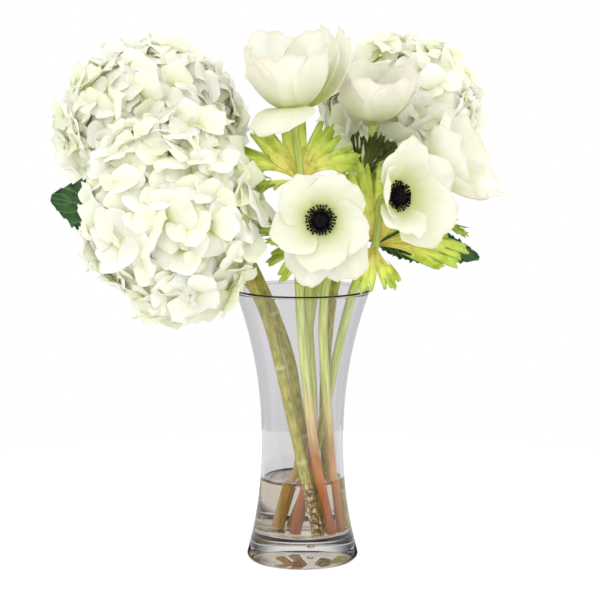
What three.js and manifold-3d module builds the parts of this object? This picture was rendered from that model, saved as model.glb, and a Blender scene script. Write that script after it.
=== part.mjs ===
// A cut-flower centrepiece: three white hydrangea heads and five white anemones
// with black centres, standing in water in a waisted clear glass vase.
//
// Millimetres, +Z up, -Y towards the viewer. The origin is the centre of the
// vase's flat underside. Every flower is a separate plant: its petals, its dark
// centre and its leafy stem are solids of their own, and the stems stand on the
// vase's thick glass floor in plain holes in the water.

import * as THREE from "three";
import { mergeVertices } from "three/addons/utils/BufferGeometryUtils.js";
import Module from "manifold-3d";

const wasm = await Module();
wasm.setup();

// ---------------------------------------------------------------- dimensions

const GAP = 0.3; // clearance between pieces that touch
const DEG = Math.PI / 180;

const VASE = {
  height: 254, // a ten inch vase
  waistHeight: 112,
  waistRadius: 38,
  rimFlare: 25, // how far the rim stands out past the waist
  footFlare: 15, // how far the foot stands out past the waist
  flarePower: 2.12,
  wall: 3.2,
  floor: 26, // thickness of the solid glass foot
  floorRound: 4, // rounding where the floor meets the wall
  lip: 1.1, // rounding of the rim
  seatRadius: 48,
  seatBevel: 3.5,
  rings: [22, 46, 76, 112, 150, 186, 220], // heights of the facets' edges
  segments: 24,
};
const WATER = { level: 76, middle: 46, gap: 0.4 };

const HYDRANGEA_STEM_RADIUS = 5.2;
const ANEMONE_STEM_RADIUS = 4.2;
const STEM_SIDES = 8;
const STEM_STEPS = 12; // facets along a stem
const STEM_NECK = 18; // straight stretch under an anemone's bloom
const SOCKET_SHARE = 0.75; // where a hydrangea's stem ends inside its core
const FLORET_CLEAR = 0.4; // florets keep this far from other pieces
const SHEET_CLEAR = 3 * GAP; // added to a sheet's thickness where it cuts others
const STEM_CLEAR = 1.4 * GAP; // added to a stem's radius where it cuts others
const CAP_CLEAR = 3 * GAP; // the same at a stem's flat end, where more is needed
const CENTRE_CLEAR = 3 * GAP; // a dark centre grows by this where it cuts its petals

const FLORET = {
  radius: 26, // larger than life, so that few of them cover a head
  notch: 0.62,
  notchDrop: 0.7, // how low the notches lie, as a share of the cup
  twist: 1.5, // two sepals stand this much higher, and two lower
  cup: 5,
  depth: 2.2,
  stalk: 2.6,
  sink: 5, // how far the stalk runs into the core
  tilt: 0.22,
  depths: [1, 0.93, 0.86, 0.79, 0.72], // deeper where a neighbour is near
  count: 48, // on a head of the radius below
  headRadius: 86,
};
const CORE_SHARE = 0.62; // a head's inner branching, as a share of its radius
const BALD_ANGLE = 28 * DEG; // no florets this close to the stem
const CORE_DETAIL = 1; // the inner branching is an icosphere

const PETAL_THICKNESS = 0.9;
const PETAL = {
  tuck: 2.6, // how far its edges pass over and under its neighbours'
  rootTuck: 0.25, // the same at the root, as a share of that
  rootRadius: 4.4,
  rootShare: 0.07, // width at the root, as a share of the whole
  tipRound: 0.12,
  swell: 1.95, // where it is widest: a quarter turn of this many radians
  widestAngle: 1.1, // a petal never wraps further around the flower, in radians
};
const LEAF_THICKNESS = 0.8;
const WHORL = {
  cutDepth: 0.36,
  sideShorter: 0.16, // the outermost lobes are this much shorter
  lobes: 3,
  wideLobes: 5,
  wideSpread: 50, // a leaf that spreads further to each side has the wide lobes
  root: 1.5, // where it leaves the axis of its stem
  rootSpread: 0.6, // how wide it fans out at its root, as a share of the whole
};
const LEAF = {
  teeth: 7,
  toothDepth: 0.12,
  fold: 5,
  arch: 2.5,
  widestPower: 0.8, // below one, the blade is widest nearer to its foot
  fullness: 0.8,
  endShare: 0.06, // width left at the foot and the tip
  stalkRadius: 1.8,
  stalkOverlap: 0.12, // how far along the blade the stalk runs
};
const RECEPTACLE = { radius: 6.5, height: 5, petalShare: 0.55 };
const CENTRE = {
  domeRadius: 7.5,
  shoulder: [0.75, 0.86], // the dome's first ring, as shares of its radius and height
  footShare: 0.8, // radius of the foot, as a share of the dome's
  height: 11,
  stamenRadius: 14,
  stamenHeight: 5,
  stamens: 8,
  lift: [1, 1, 0.5, -1], // how far each ring moves up as the centre grows
};

// ---------------------------------------------------------------- the plants

// Each stem is a smooth curve through points: vase floor, waist, rim, then up
// to the flower. A head is an ellipsoid of florets on top of its stem.
const HYDRANGEAS = [
  {
    name: "hydrangea_front",
    centre: [-113, -50, 326],
    radii: [84, 76, 95],
    turn: 0.3,
    stem: [[16, -26, 12], [-6, -24, 120], [-43, -24, 254]],
  },
  {
    name: "hydrangea_left",
    centre: [-143, 78, 396],
    radii: [91, 84, 86],
    turn: 1.7,
    stem: [[22, 0, 12], [-1, -2, 120], [-12, -3, 190], [-36, -4, 254], [-70, 24, 314]],
  },
  {
    name: "hydrangea_right",
    centre: [95, 86, 408],
    radii: [76, 74, 74],
    turn: 2.9,
    stem: [[32, 15, 12], [21, 18, 120], [30, 18, 254], [50, 38, 310]],
  },
];

// A petal is [azimuth, length, width, rise at the root, rise at the tip], with
// angles in degrees. Azimuth 0 points to the right and turns towards the top of
// the flower as the viewer sees it. A whorl leaf is [azimuth, length, half
// spread, rise at the root, rise at the tip] around its stem.
const ANEMONES = [
  {
    name: "anemone_front",
    base: [16, -84, 326],
    axis: [-0.03, -0.99, -0.05],
    petals: [
      [126, 44, 68, 24, 18],
      [54, 44, 68, 24, 18],
      [198, 42, 66, 24, 18],
      [342, 42, 66, 24, 18],
      [270, 42, 66, 24, 14],
      [300, 56, 62, 6, -6],
      [256, 55, 58, 6, -6],
    ],
    stem: [[-8, -11, 12], [9, -14, 120], [5, -20, 254]],
    whorl: {
      at: [12, -54, 306],
      axis: [0.1, -0.5, 0.86],
      leaves: [[185, 56, 34, 24, -20], [226, 54, 40, -14, -60], [278, 44, 34, -30, -60]],
    },
  },
  {
    name: "anemone_right",
    base: [80, -69, 344],
    axis: [0.55, -0.82, 0.14],
    petals: [
      [100, 54, 72, 24, 48],
      [26, 53, 74, 24, 20],
      [330, 55, 90, 24, 16],
      [262, 46, 62, 24, 62],
      [178, 46, 64, 26, 76],
    ],
    stem: [[-10, 12, 12], [17, 8, 120], [46, -20, 254]],
    whorl: {
      at: [65, -50, 299],
      axis: [0.25, -0.3, 0.92],
      leaves: [
        [105, 84, 62, 82, 66],
        [4, 88, 48, 28, -14],
        [262, 56, 48, -10, -60],
        [172, 78, 26, 58, -24],
      ],
    },
  },
  {
    name: "anemone_top",
    base: [-8, -28, 416],
    axis: [-0.08, -0.12, 0.98],
    petals: [
      [258, 68, 90, 20, 100],
      [334, 72, 80, 20, 102],
      [46, 84, 82, 20, 104],
      [118, 84, 84, 20, 104],
      [190, 74, 80, 20, 102],
      [15, 94, 40, 4, 108],
      [244, 54, 82, 30, -60],
    ],
    stem: [[27, -21, 12], [9, -28, 120], [-3, -33, 254]],
    whorl: {
      at: [-2, -38, 355],
      axis: [0, 0.02, 1],
      leaves: [[100, 72, 80, 54, 64], [350, 46, 40, 14, -10], [200, 44, 30, 10, -30]],
    },
  },
  {
    name: "anemone_crown",
    base: [64, 2, 404],
    axis: [0.08, -0.1, 0.97],
    petals: [
      [256, 56, 88, 13, 98],
      [326, 60, 78, 15, 100],
      [34, 66, 78, 15, 100],
      [106, 68, 78, 15, 100],
      [186, 62, 78, 15, 100],
    ],
    stem: [[33, -14, 12], [24, -15, 120], [20, -30, 254], [42, -20, 326]],
    whorl: {
      at: [55, -2, 362],
      axis: [0.2, 0.1, 0.97],
      leaves: [[305, 42, 24, 60, 80], [10, 42, 26, 44, 66], [215, 38, 20, 60, 76]],
    },
  },
  {
    name: "anemone_side",
    base: [119, -9, 355],
    axis: [0.78, -0.18, 0.6],
    petals: [
      [88, 68, 84, 24, 74],
      [16, 62, 84, 16, 66],
      [304, 55, 80, 12, 58],
      [232, 62, 76, 22, 72],
      [160, 64, 76, 26, 78],
    ],
    stem: [[-20, 3, 12], [2, 20, 120], [14, 8, 254], [62, -8, 316]],
    whorl: {
      at: [88, -12, 331],
      axis: [0.75, -0.1, 0.65],
      leaves: [[5, 72, 18, 32, 22], [60, 38, 28, 30, 44], [180, 34, 26, 34, 44]],
    },
  },
];

// Hydrangea leaves: where the short stalk starts, the blade's foot and its tip,
// and the way the blade faces.
const LEAVES = [
  {
    name: "hydrangea_leaf_left",
    stalk: [-73, 27, 312],
    foot: [-98, 26, 304],
    tip: [-230, -6, 338],
    width: 86,
    facing: [-0.2, -0.9, 0.3],
  },
  {
    name: "hydrangea_leaf_right",
    stalk: [46, 34, 298],
    foot: [70, 27, 294],
    tip: [164, 14, 280],
    width: 44,
    facing: [0.1, -0.75, 0.65],
  },
];

// ---------------------------------------------------------------- finishes

function finish(color, roughness, extra = {}) {
  return new THREE.MeshStandardMaterial({ color, roughness, metalness: 0, ...extra });
}

const FINISHES = {
  glass: finish("#e9e8ee", 0.03, { transparent: true, opacity: 0.35 }),
  water: finish("#eef2ee", 0.02, { transparent: true, opacity: 0.35 }),
  hydrangea: finish("#f7f7ea", 0.7),
  anemone: finish("#f1f1dc", 0.6),
  centre: finish("#15121c", 0.8),
  woody: finish("#9a944f", 0.65),
  tender: finish("#b9c765", 0.5),
  leaf: finish("#3f5f34", 0.55),
};

// ---------------------------------------------------------------- solids

function solidOf(geometry) {
  const bare = geometry.index ? geometry.toNonIndexed() : geometry.clone();
  bare.deleteAttribute("normal");
  bare.deleteAttribute("uv");
  const merged = mergeVertices(bare, 1e-3);
  return new wasm.Manifold(
    new wasm.Mesh({
      numProp: 3,
      vertProperties: new Float32Array(merged.attributes.position.array),
      triVerts: new Uint32Array(merged.index.array),
    }),
  );
}

function geometryOf(solid) {
  const mesh = solid.getMesh();
  const position = new Float32Array(mesh.numVert * 3);
  for (let i = 0; i < mesh.numVert; i++) {
    const at = i * mesh.numProp;
    position.set(mesh.vertProperties.subarray(at, at + 3), i * 3);
  }
  const geometry = new THREE.BufferGeometry();
  geometry.setAttribute("position", new THREE.BufferAttribute(position, 3));
  geometry.setIndex(new THREE.BufferAttribute(mesh.triVerts, 1));
  geometry.computeVertexNormals();
  return geometry;
}

const joined = (solids) => solids.reduce((all, next) => all.add(next));

// The largest of a solid's separate bodies: scraps that a cut frees are dropped.
function largest(solid) {
  const bodies = solid.decompose();
  return bodies.reduce((a, b) => (b.volume() > a.volume() ? b : a));
}

// A geometry of corner points and triangles that run counter-clockwise.
function closedMesh(points, triangles) {
  const geometry = new THREE.BufferGeometry();
  geometry.setAttribute(
    "position",
    new THREE.Float32BufferAttribute(points.flatMap((p) => [p.x, p.y, p.z]), 3),
  );
  geometry.setIndex(triangles.flat());
  return geometry;
}

// A thin sheet: point(u, v) for u in -1..1 and v in 0..1, thickened half to each
// side along its normal. Each cell is split alike on both faces.
function blade(point, across, along, thickness) {
  const step = 1e-3;
  const rows = along + 1;
  const sides = [1, -1].map((side) => {
    const points = [];
    for (let i = 0; i <= across; i++) {
      for (let j = 0; j <= along; j++) {
        const u = (2 * i) / across - 1;
        const v = j / along;
        const here = point(u, v);
        const du = point(u + step, v).sub(point(u - step, v));
        const dv = point(u, v + step).sub(point(u, v - step));
        const normal = du.cross(dv).normalize();
        points.push(here.addScaledVector(normal, (side * thickness) / 2));
      }
    }
    return points;
  });
  const count = (across + 1) * rows;
  const triangles = [];
  const quad = (a, b, c, d) => triangles.push([a, b, c], [a, c, d]);
  for (let i = 0; i < across; i++) {
    for (let j = 0; j < along; j++) {
      const a = i * rows + j;
      triangles.push([a, a + rows, a + rows + 1], [a, a + rows + 1, a + 1]);
      const b = a + count;
      triangles.push([b, b + rows + 1, b + rows], [b, b + 1, b + rows + 1]);
    }
  }
  for (let i = 0; i < across; i++) {
    const near = i * rows;
    const far = near + along;
    quad(near, near + count, near + count + rows, near + rows);
    quad(far, far + rows, far + rows + count, far + count);
  }
  for (let j = 0; j < along; j++) {
    const left = j;
    const right = across * rows + j;
    quad(left, left + 1, left + 1 + count, left + count);
    quad(right, right + count, right + count + 1, right + 1);
  }
  return solidOf(closedMesh(sides.flat(), triangles));
}

// The frame of a flower or whorl: its own z is the axis, and its own x lies as
// near to the right as it can.
function frameAt(origin, axis) {
  const z = new THREE.Vector3(...axis).normalize();
  const right = new THREE.Vector3(1, 0, 0);
  const x = right.addScaledVector(z, -z.x).normalize();
  const y = z.clone().cross(x);
  return new THREE.Matrix4().makeBasis(x, y, z).setPosition(...origin);
}

const placed = (solid, frame) => solid.transform(frame.elements);

// A point around an axis.
function around(azimuth, out, up) {
  return new THREE.Vector3(out * Math.cos(azimuth), out * Math.sin(azimuth), up);
}

// A repeatable random draw.
function randomFrom(seed) {
  let state = seed;
  return () => {
    state = (state + 0x6d2b79f5) | 0;
    let t = Math.imul(state ^ (state >>> 15), 1 | state);
    t = (t + Math.imul(t ^ (t >>> 7), 61 | t)) ^ t;
    return ((t ^ (t >>> 14)) >>> 0) / 4294967296;
  };
}

// ---------------------------------------------------------------- vase, water

// Outer radius at a height: two smooth flares that leave the waist.
function vaseRadius(z) {
  const { waistHeight, waistRadius, rimFlare, footFlare, flarePower, height } = VASE;
  const above = z > waistHeight;
  const share = above ? (z - waistHeight) / (height - waistHeight) : 1 - z / waistHeight;
  return waistRadius + (above ? rimFlare : footFlare) * share ** flarePower;
}

// A turned solid, from the radius and height of each corner of its profile.
function turned(profile) {
  const points = profile.map(([r, z]) => new THREE.Vector2(r, z));
  const geometry = new THREE.LatheGeometry(points, VASE.segments).rotateX(Math.PI / 2);
  return solidOf(geometry);
}

// The vase: a thick solid foot under a thin flared wall.
function vase() {
  const { height, wall, floor, floorRound, lip, seatRadius, seatBevel, rings } = VASE;
  const outside = rings.map((z) => [vaseRadius(z), z]);
  const inside = rings.slice(1).map((z) => [vaseRadius(z) - wall, z]).reverse();
  const floorRadius = vaseRadius(floor) - wall;
  return turned([
    [0, 0],
    [seatRadius, 0],
    [vaseRadius(seatBevel), seatBevel],
    ...outside,
    [vaseRadius(height), height - lip],
    [vaseRadius(height) - wall / 2, height],
    [vaseRadius(height) - wall, height - lip],
    ...inside,
    [floorRadius, floor + floorRound],
    [floorRadius - floorRound, floor],
    [0, floor],
  ]);
}

// The water, up to its level, with a plain hole around each stem.
function water(stemHoles) {
  const inset = VASE.wall + WATER.gap;
  const bottom = VASE.floor + GAP;
  const cornerRadius = vaseRadius(VASE.floor) - inset;
  const body = turned([
    [0, bottom],
    [cornerRadius - VASE.floorRound, bottom],
    [cornerRadius, bottom + VASE.floorRound],
    [vaseRadius(WATER.middle) - inset, WATER.middle],
    [vaseRadius(WATER.level) - inset, WATER.level],
    [0, WATER.level],
  ]);
  return largest(stemHoles.reduce((left, hole) => left.subtract(hole), body));
}

// ---------------------------------------------------------------- stems

// A round stem along its curve.
function stemBar(points, radius) {
  const curve = new THREE.CatmullRomCurve3(points.map((p) => new THREE.Vector3(...p)));
  const section = new THREE.Shape();
  for (let i = 0; i < STEM_SIDES; i++) {
    const angle = (i / STEM_SIDES) * 2 * Math.PI;
    const [x, y] = [radius * Math.cos(angle), radius * Math.sin(angle)];
    if (i) section.lineTo(x, y);
    else section.moveTo(x, y);
  }
  section.closePath();
  const geometry = new THREE.ExtrudeGeometry(section, {
    steps: STEM_STEPS,
    extrudePath: curve,
    bevelEnabled: false,
  });
  return solidOf(geometry);
}

// A stem cut flat where it stands on the glass floor.
const standing = (bar) => bar.trimByPlane([0, 0, 1], VASE.floor + GAP);

// The same stem a little fatter and longer, to cut its clearance out of others.
function stemHole(points, radius) {
  const end = points.at(-1);
  const onward = new THREE.Vector3(...end).sub(new THREE.Vector3(...points.at(-2)));
  const capRadius = radius + CAP_CLEAR;
  const cap = new THREE.CylinderGeometry(capRadius, capRadius, 4 * GAP, STEM_SIDES);
  const capAt = frameAt(end, onward.toArray());
  const clearance = stemBar(points, radius + STEM_CLEAR);
  return clearance.add(placed(solidOf(cap.rotateX(Math.PI / 2)), capAt));
}

// ---------------------------------------------------------------- whorls

// A point on a sheet that leaves an axis and bends: how far out and how high it
// is after a length, when its rise turns evenly from one angle to another.
function bentReach(length, rise, tipRise, share) {
  const a = rise * DEG;
  const turn = (tipRise - rise) * DEG;
  const b = a + turn * share;
  if (Math.abs(turn) < 1e-6) return [length * share * Math.cos(a), length * share * Math.sin(a)];
  return [
    (length * (Math.sin(b) - Math.sin(a))) / turn,
    (length * (Math.cos(a) - Math.cos(b))) / turn,
  ];
}

// A broad petal: narrow at the root, widest past the middle, with a round tip.
// One edge lies under its neighbour and the other over the next, by a shift
// across the sheet.
function petal([azimuth, length, width, rise, tipRise], thickness) {
  const { tuck, rootTuck, rootRadius, rootShare, tipRound, widestAngle } = PETAL;
  const point = (u, v) => {
    const share = v * (1 - tipRound * u * u * v);
    const [out, up] = bentReach(length, rise, tipRise, share);
    const slope = (rise + (tipRise - rise) * share) * DEG;
    const shift = tuck * u * (rootTuck + (1 - rootTuck) * v);
    const swell = Math.sin(v * PETAL.swell);
    const halfWidth = (width / 2) * (rootShare + (1 - rootShare) * swell);
    const radius = rootRadius + Math.max(out, 0);
    const angle = azimuth * DEG + Math.min(widestAngle, halfWidth / (radius + 3)) * u;
    const height = RECEPTACLE.height * RECEPTACLE.petalShare + up + shift * Math.cos(slope);
    return around(angle, radius - shift * Math.sin(slope), height);
  };
  return blade(point, 3, 3, thickness);
}

// A fan leaf of a whorl: a flat fan, whole near the stem, then cut into pointed
// lobes. It is bent along its middle, and a wide leaf has more lobes.
function whorlLeaf([azimuth, length, spread, rise, tipRise], thickness) {
  const lobes = spread > WHORL.wideSpread ? WHORL.wideLobes : WHORL.lobes;
  const point = (u, v) => {
    const betweenLobes = 0.5 + 0.5 * Math.cos(lobes * Math.PI * (u + 1));
    const reach = v * (1 - WHORL.cutDepth * betweenLobes * v * v) * (1 - WHORL.sideShorter * u * u);
    const angle = spread * DEG * (WHORL.rootSpread + (1 - WHORL.rootSpread) * v) * u;
    const [out, up] = bentReach(length, rise, tipRise, reach * Math.cos(angle));
    const ahead = out + WHORL.root * Math.cos(angle);
    const aside = (length * reach + WHORL.root) * Math.sin(angle);
    const turn = azimuth * DEG + Math.atan2(aside, ahead);
    return around(turn, Math.hypot(ahead, aside), up);
  };
  return blade(point, lobes * 2, 2, thickness);
}

// All the leaves of a whorl, where they stand on their stem.
function whorlOn(whorl, thickness) {
  const frame = frameAt(whorl.at, whorl.axis);
  return whorl.leaves.map((leaf) => placed(whorlLeaf(leaf, thickness), frame));
}

// ---------------------------------------------------------------- anemones

// The green knob between an anemone's petals and its dark centre.
function receptacle() {
  const { radius, height } = RECEPTACLE;
  const geometry = new THREE.CylinderGeometry(radius, radius * 0.7, height - GAP, 8);
  geometry.rotateX(Math.PI / 2).translate(0, 0, (height + GAP) / 2);
  return solidOf(geometry);
}

// A bloom: its petals around the receptacle.
function petals(flower, thickness) {
  const all = [receptacle(), ...flower.petals.map((p) => petal(p, thickness))];
  return placed(joined(all), frameAt(flower.base, flower.axis));
}

// The dark dome in its star of stamens, standing on the receptacle: rings from
// the dome's top, out along the stamens and back underneath.
function darkCentre(flower, grow) {
  const { domeRadius, footShare, stamenRadius, stamens, height, stamenHeight } = CENTRE;
  const [shoulderRadius, shoulderUp] = [domeRadius * CENTRE.shoulder[0], height * CENTRE.shoulder[1]];
  const foot = RECEPTACLE.height + GAP;
  const corners = stamens * 2;
  const rings = [
    [shoulderRadius, shoulderRadius, foot + shoulderUp],
    [domeRadius, domeRadius, foot + stamenHeight + 1.2],
    [stamenRadius, domeRadius + 1.5, foot + stamenHeight + 1],
    [domeRadius * footShare, domeRadius * footShare, foot],
  ];
  const points = [new THREE.Vector3(0, 0, foot + height + grow)];
  rings.forEach(([tip, hollow, up], ring) => {
    const lift = grow * CENTRE.lift[ring];
    for (let i = 0; i < corners; i++) {
      const reach = (i % 2 ? hollow : tip) + grow;
      points.push(around((i / corners) * 2 * Math.PI, reach, up + lift));
    }
  });
  const under = points.push(new THREE.Vector3(0, 0, foot - grow)) - 1;
  const triangles = [];
  for (let i = 0; i < corners; i++) {
    const next = (i + 1) % corners;
    triangles.push([0, 1 + i, 1 + next]);
    for (let ring = 1; ring < rings.length; ring++) {
      const [inner, outer] = [1 + (ring - 1) * corners, 1 + ring * corners];
      triangles.push([inner + i, outer + i, outer + next], [inner + i, outer + next, inner + next]);
    }
    const last = 1 + (rings.length - 1) * corners;
    triangles.push([under, last + next, last + i]);
  }
  return placed(solidOf(closedMesh(points, triangles)), frameAt(flower.base, flower.axis));
}

// ---------------------------------------------------------------- hydrangeas

// One floret: four broad sepals, dished, on a stalk that narrows to its root.
// Its rim runs from tip to notch to tip, and a square collar under the notches
// turns into the stalk.
function floret(rootDepth) {
  const { radius, notch, notchDrop, twist, cup, depth, stalk } = FLORET;
  const points = [new THREE.Vector3(0, 0, -cup)];
  for (let k = 0; k < 4; k++) {
    const middle = k * (Math.PI / 2);
    points.push(around(middle, radius, k % 2 ? twist : -twist));
    points.push(around(middle + Math.PI / 4, radius * notch, -cup * notchDrop));
  }
  const rim = (i) => 1 + ((i + 8) % 8);
  for (let k = 0; k < 4; k++) {
    points.push(around((k + 0.5) * (Math.PI / 2), stalk, -cup - depth));
  }
  const collar = (k) => 9 + ((k + 4) % 4);
  const root = points.push(new THREE.Vector3(0, 0, -rootDepth)) - 1;
  const triangles = [];
  for (let i = 0; i < 8; i++) triangles.push([0, rim(i), rim(i + 1)]);
  for (let k = 0; k < 4; k++) {
    const tip = 2 * k;
    triangles.push([rim(tip), rim(tip - 1), collar(k - 1)]);
    triangles.push([rim(tip), collar(k - 1), collar(k)]);
    triangles.push([rim(tip + 1), rim(tip), collar(k)]);
    triangles.push([collar(k), collar(k - 1), root]);
  }
  return solidOf(closedMesh(points, triangles));
}

// Evenly spread directions on a ball, from its top to the bald patch.
function spread(count, baldAngle) {
  const golden = Math.PI * (3 - Math.sqrt(5));
  const lowest = -Math.cos(baldAngle);
  return Array.from({ length: count }, (_, i) => {
    const z = 1 - ((i + 0.5) / count) * (1 - lowest);
    const out = Math.sqrt(1 - z * z);
    return new THREE.Vector3(out * Math.cos(i * golden), out * Math.sin(i * golden), z);
  });
}

// A head: florets all over a rounded core, away from whatever already stands
// there. The head's own axis runs on from its stem.
function head(plant, obstacles) {
  const centre = new THREE.Vector3(...plant.centre);
  const radii = new THREE.Vector3(...plant.radii);
  const axis = centre.clone().sub(new THREE.Vector3(...plant.stem.at(-1))).normalize();
  const upright = new THREE.Quaternion().setFromUnitVectors(new THREE.Vector3(0, 0, 1), axis);
  const random = randomFrom(Math.round(plant.turn * 100));
  const meanRadius = (plant.radii[0] + plant.radii[1] + plant.radii[2]) / 3;
  const shape = floret(meanRadius * (1 - CORE_SHARE) + FLORET.sink);
  const count = Math.round(FLORET.count * (meanRadius / FLORET.headRadius) ** 2);
  const coreBall = new THREE.IcosahedronGeometry(1, CORE_DETAIL);
  coreBall.scale(...plant.radii.map((r) => r * CORE_SHARE)).translate(...plant.centre);
  const florets = [];
  for (const direction of spread(count, BALD_ANGLE)) {
    direction.applyAxisAngle(new THREE.Vector3(0, 0, 1), plant.turn).applyQuaternion(upright);
    const lean = new THREE.Vector3(random() - 0.5, random() - 0.5, random() - 0.5);
    const normal = direction.clone().divide(radii).normalize();
    normal.addScaledVector(lean, 2 * FLORET.tilt);
    const turned = placed(shape, new THREE.Matrix4().makeRotationZ(random() * Math.PI));
    const tries = FLORET.depths.map((depth) => {
      const at = direction.clone().multiply(radii).multiplyScalar(depth).add(centre);
      return placed(turned, frameAt(at.toArray(), normal.toArray()));
    });
    const fitting = tries.find((solid) => obstacles.every((o) => o.minGap(solid, 1) > FLORET_CLEAR));
    if (fitting) florets.push(fitting);
  }
  return joined([solidOf(coreBall), ...florets]);
}

// ---------------------------------------------------------------- leaves

// A toothed oval leaf, folded a little along its rib, on its stalk.
function hydrangeaLeaf({ stalk, foot, tip, width, facing }, thickness) {
  const start = new THREE.Vector3(...foot);
  const rib = new THREE.Vector3(...tip).sub(start);
  const side = new THREE.Vector3(...facing).cross(rib).normalize();
  const face = rib.clone().cross(side).normalize();
  const { teeth, toothDepth, fold, arch, widestPower, fullness, endShare } = LEAF;
  const point = (u, v) => {
    const share = Math.min(1, Math.max(0, v));
    const oval = Math.max(0, Math.sin(Math.PI * share ** widestPower)) ** fullness + endShare;
    const edge = Math.abs(u) > 0.9 && Math.round(v * teeth) % 2 === 0 ? 1 - toothDepth : 1;
    const across = (width / 2) * oval * u * edge;
    const lift = fold * Math.abs(u) * oval + 4 * arch * v * (1 - v);
    return start.clone().addScaledVector(rib, v).addScaledVector(side, across)
      .addScaledVector(face, lift);
  };
  const sheet = blade(point, 4, teeth, thickness);
  const inner = start.clone().addScaledVector(rib, LEAF.stalkOverlap);
  const corners = [0, 1, 2, 3].map((k) => {
    const angle = k * (Math.PI / 2);
    return new THREE.Vector2(Math.cos(angle), Math.sin(angle)).multiplyScalar(LEAF.stalkRadius);
  });
  const bar = new THREE.ExtrudeGeometry(new THREE.Shape(corners), {
    steps: 1,
    extrudePath: new THREE.LineCurve3(new THREE.Vector3(...stalk), inner),
    bevelEnabled: false,
  });
  return sheet.add(solidOf(bar));
}

// ---------------------------------------------------------------- arrangement

const plants = [...HYDRANGEAS, ...ANEMONES];

// A hydrangea's stem ends in its core, and an anemone's at its receptacle.
function stemPoints(plant) {
  if (plant.petals) {
    const axis = new THREE.Vector3(...plant.axis).normalize();
    const neck = new THREE.Vector3(...plant.base).addScaledVector(axis, -STEM_NECK);
    return [...plant.stem, plant.whorl.at, neck.toArray(), plant.base];
  }
  const centre = new THREE.Vector3(...plant.centre);
  const outward = new THREE.Vector3(...plant.stem.at(-1)).sub(centre);
  const socket = outward.setLength(Math.min(...plant.radii) * CORE_SHARE * SOCKET_SHARE);
  return [...plant.stem, centre.add(socket).toArray()];
}

// Cuts away what would come too near to each obstacle that a solid runs into.
function cutClear(solid, obstacles) {
  const meets = obstacles.filter((o) => solid.intersect(o).volume() > 0);
  return meets.reduce((left, o) => left.subtract(o), solid);
}

const stemRadius = (plant) => (plant.petals ? ANEMONE_STEM_RADIUS : HYDRANGEA_STEM_RADIUS);
const stems = plants.map((p) => standing(stemBar(stemPoints(p), stemRadius(p))));
const holes = plants.map((p) => stemHole(stemPoints(p), stemRadius(p)));
const firstAnemone = HYDRANGEAS.length;

const bloomSpaces = ANEMONES.map((flower) => petals(flower, PETAL_THICKNESS + SHEET_CLEAR));
const blooms = ANEMONES.map((flower, i) => {
  const obstacles = [darkCentre(flower, CENTRE_CLEAR), ...bloomSpaces.slice(0, i)];
  return largest(cutClear(petals(flower, PETAL_THICKNESS), obstacles));
});
const whorls = ANEMONES.map((flower) => joined(whorlOn(flower.whorl, LEAF_THICKNESS)));
const whorlSpaces = ANEMONES.map((f) => joined(whorlOn(f.whorl, LEAF_THICKNESS + SHEET_CLEAR)));

const leafyStems = ANEMONES.map((flower, i) => {
  const own = firstAnemone + i;
  const otherHoles = holes.filter((_, k) => k !== own);
  const leaves = cutClear(whorls[i], [...bloomSpaces, ...otherHoles, ...whorlSpaces.slice(0, i)]);
  return largest(stems[own].add(leaves));
});

const looseLeaves = LEAVES.map((leaf) => {
  const whole = hydrangeaLeaf(leaf, LEAF_THICKNESS);
  return largest(cutClear(whole, [...bloomSpaces, ...whorlSpaces, ...holes]));
});

const vaseSolid = vase();
const heads = [];
for (const [i, plant] of HYDRANGEAS.entries()) {
  const otherStems = stems.slice(0, firstAnemone).filter((_, k) => k !== i);
  const obstacles = [vaseSolid, ...blooms, ...leafyStems, ...looseLeaves, ...heads, ...otherStems];
  heads.push(largest(head(plant, obstacles).subtract(holes[i])));
}

const arrangement = new THREE.Group();

function add(name, solid, material) {
  const mesh = new THREE.Mesh(geometryOf(solid), FINISHES[material]);
  mesh.name = name;
  arrangement.add(mesh);
}

add("vase", vaseSolid, "glass");
add("water", water(holes), "water");
HYDRANGEAS.forEach((plant, i) => {
  add(plant.name + "_head", heads[i], "hydrangea");
  add(plant.name + "_stem", stems[i], "woody");
});
LEAVES.forEach((leaf, i) => add(leaf.name, looseLeaves[i], "leaf"));
ANEMONES.forEach((flower, i) => {
  add(flower.name + "_petals", blooms[i], "anemone");
  add(flower.name + "_centre", darkCentre(flower, 0), "centre");
  add(flower.name + "_stem", leafyStems[i], "tender");
});

export default arrangement;
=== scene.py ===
import math

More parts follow.
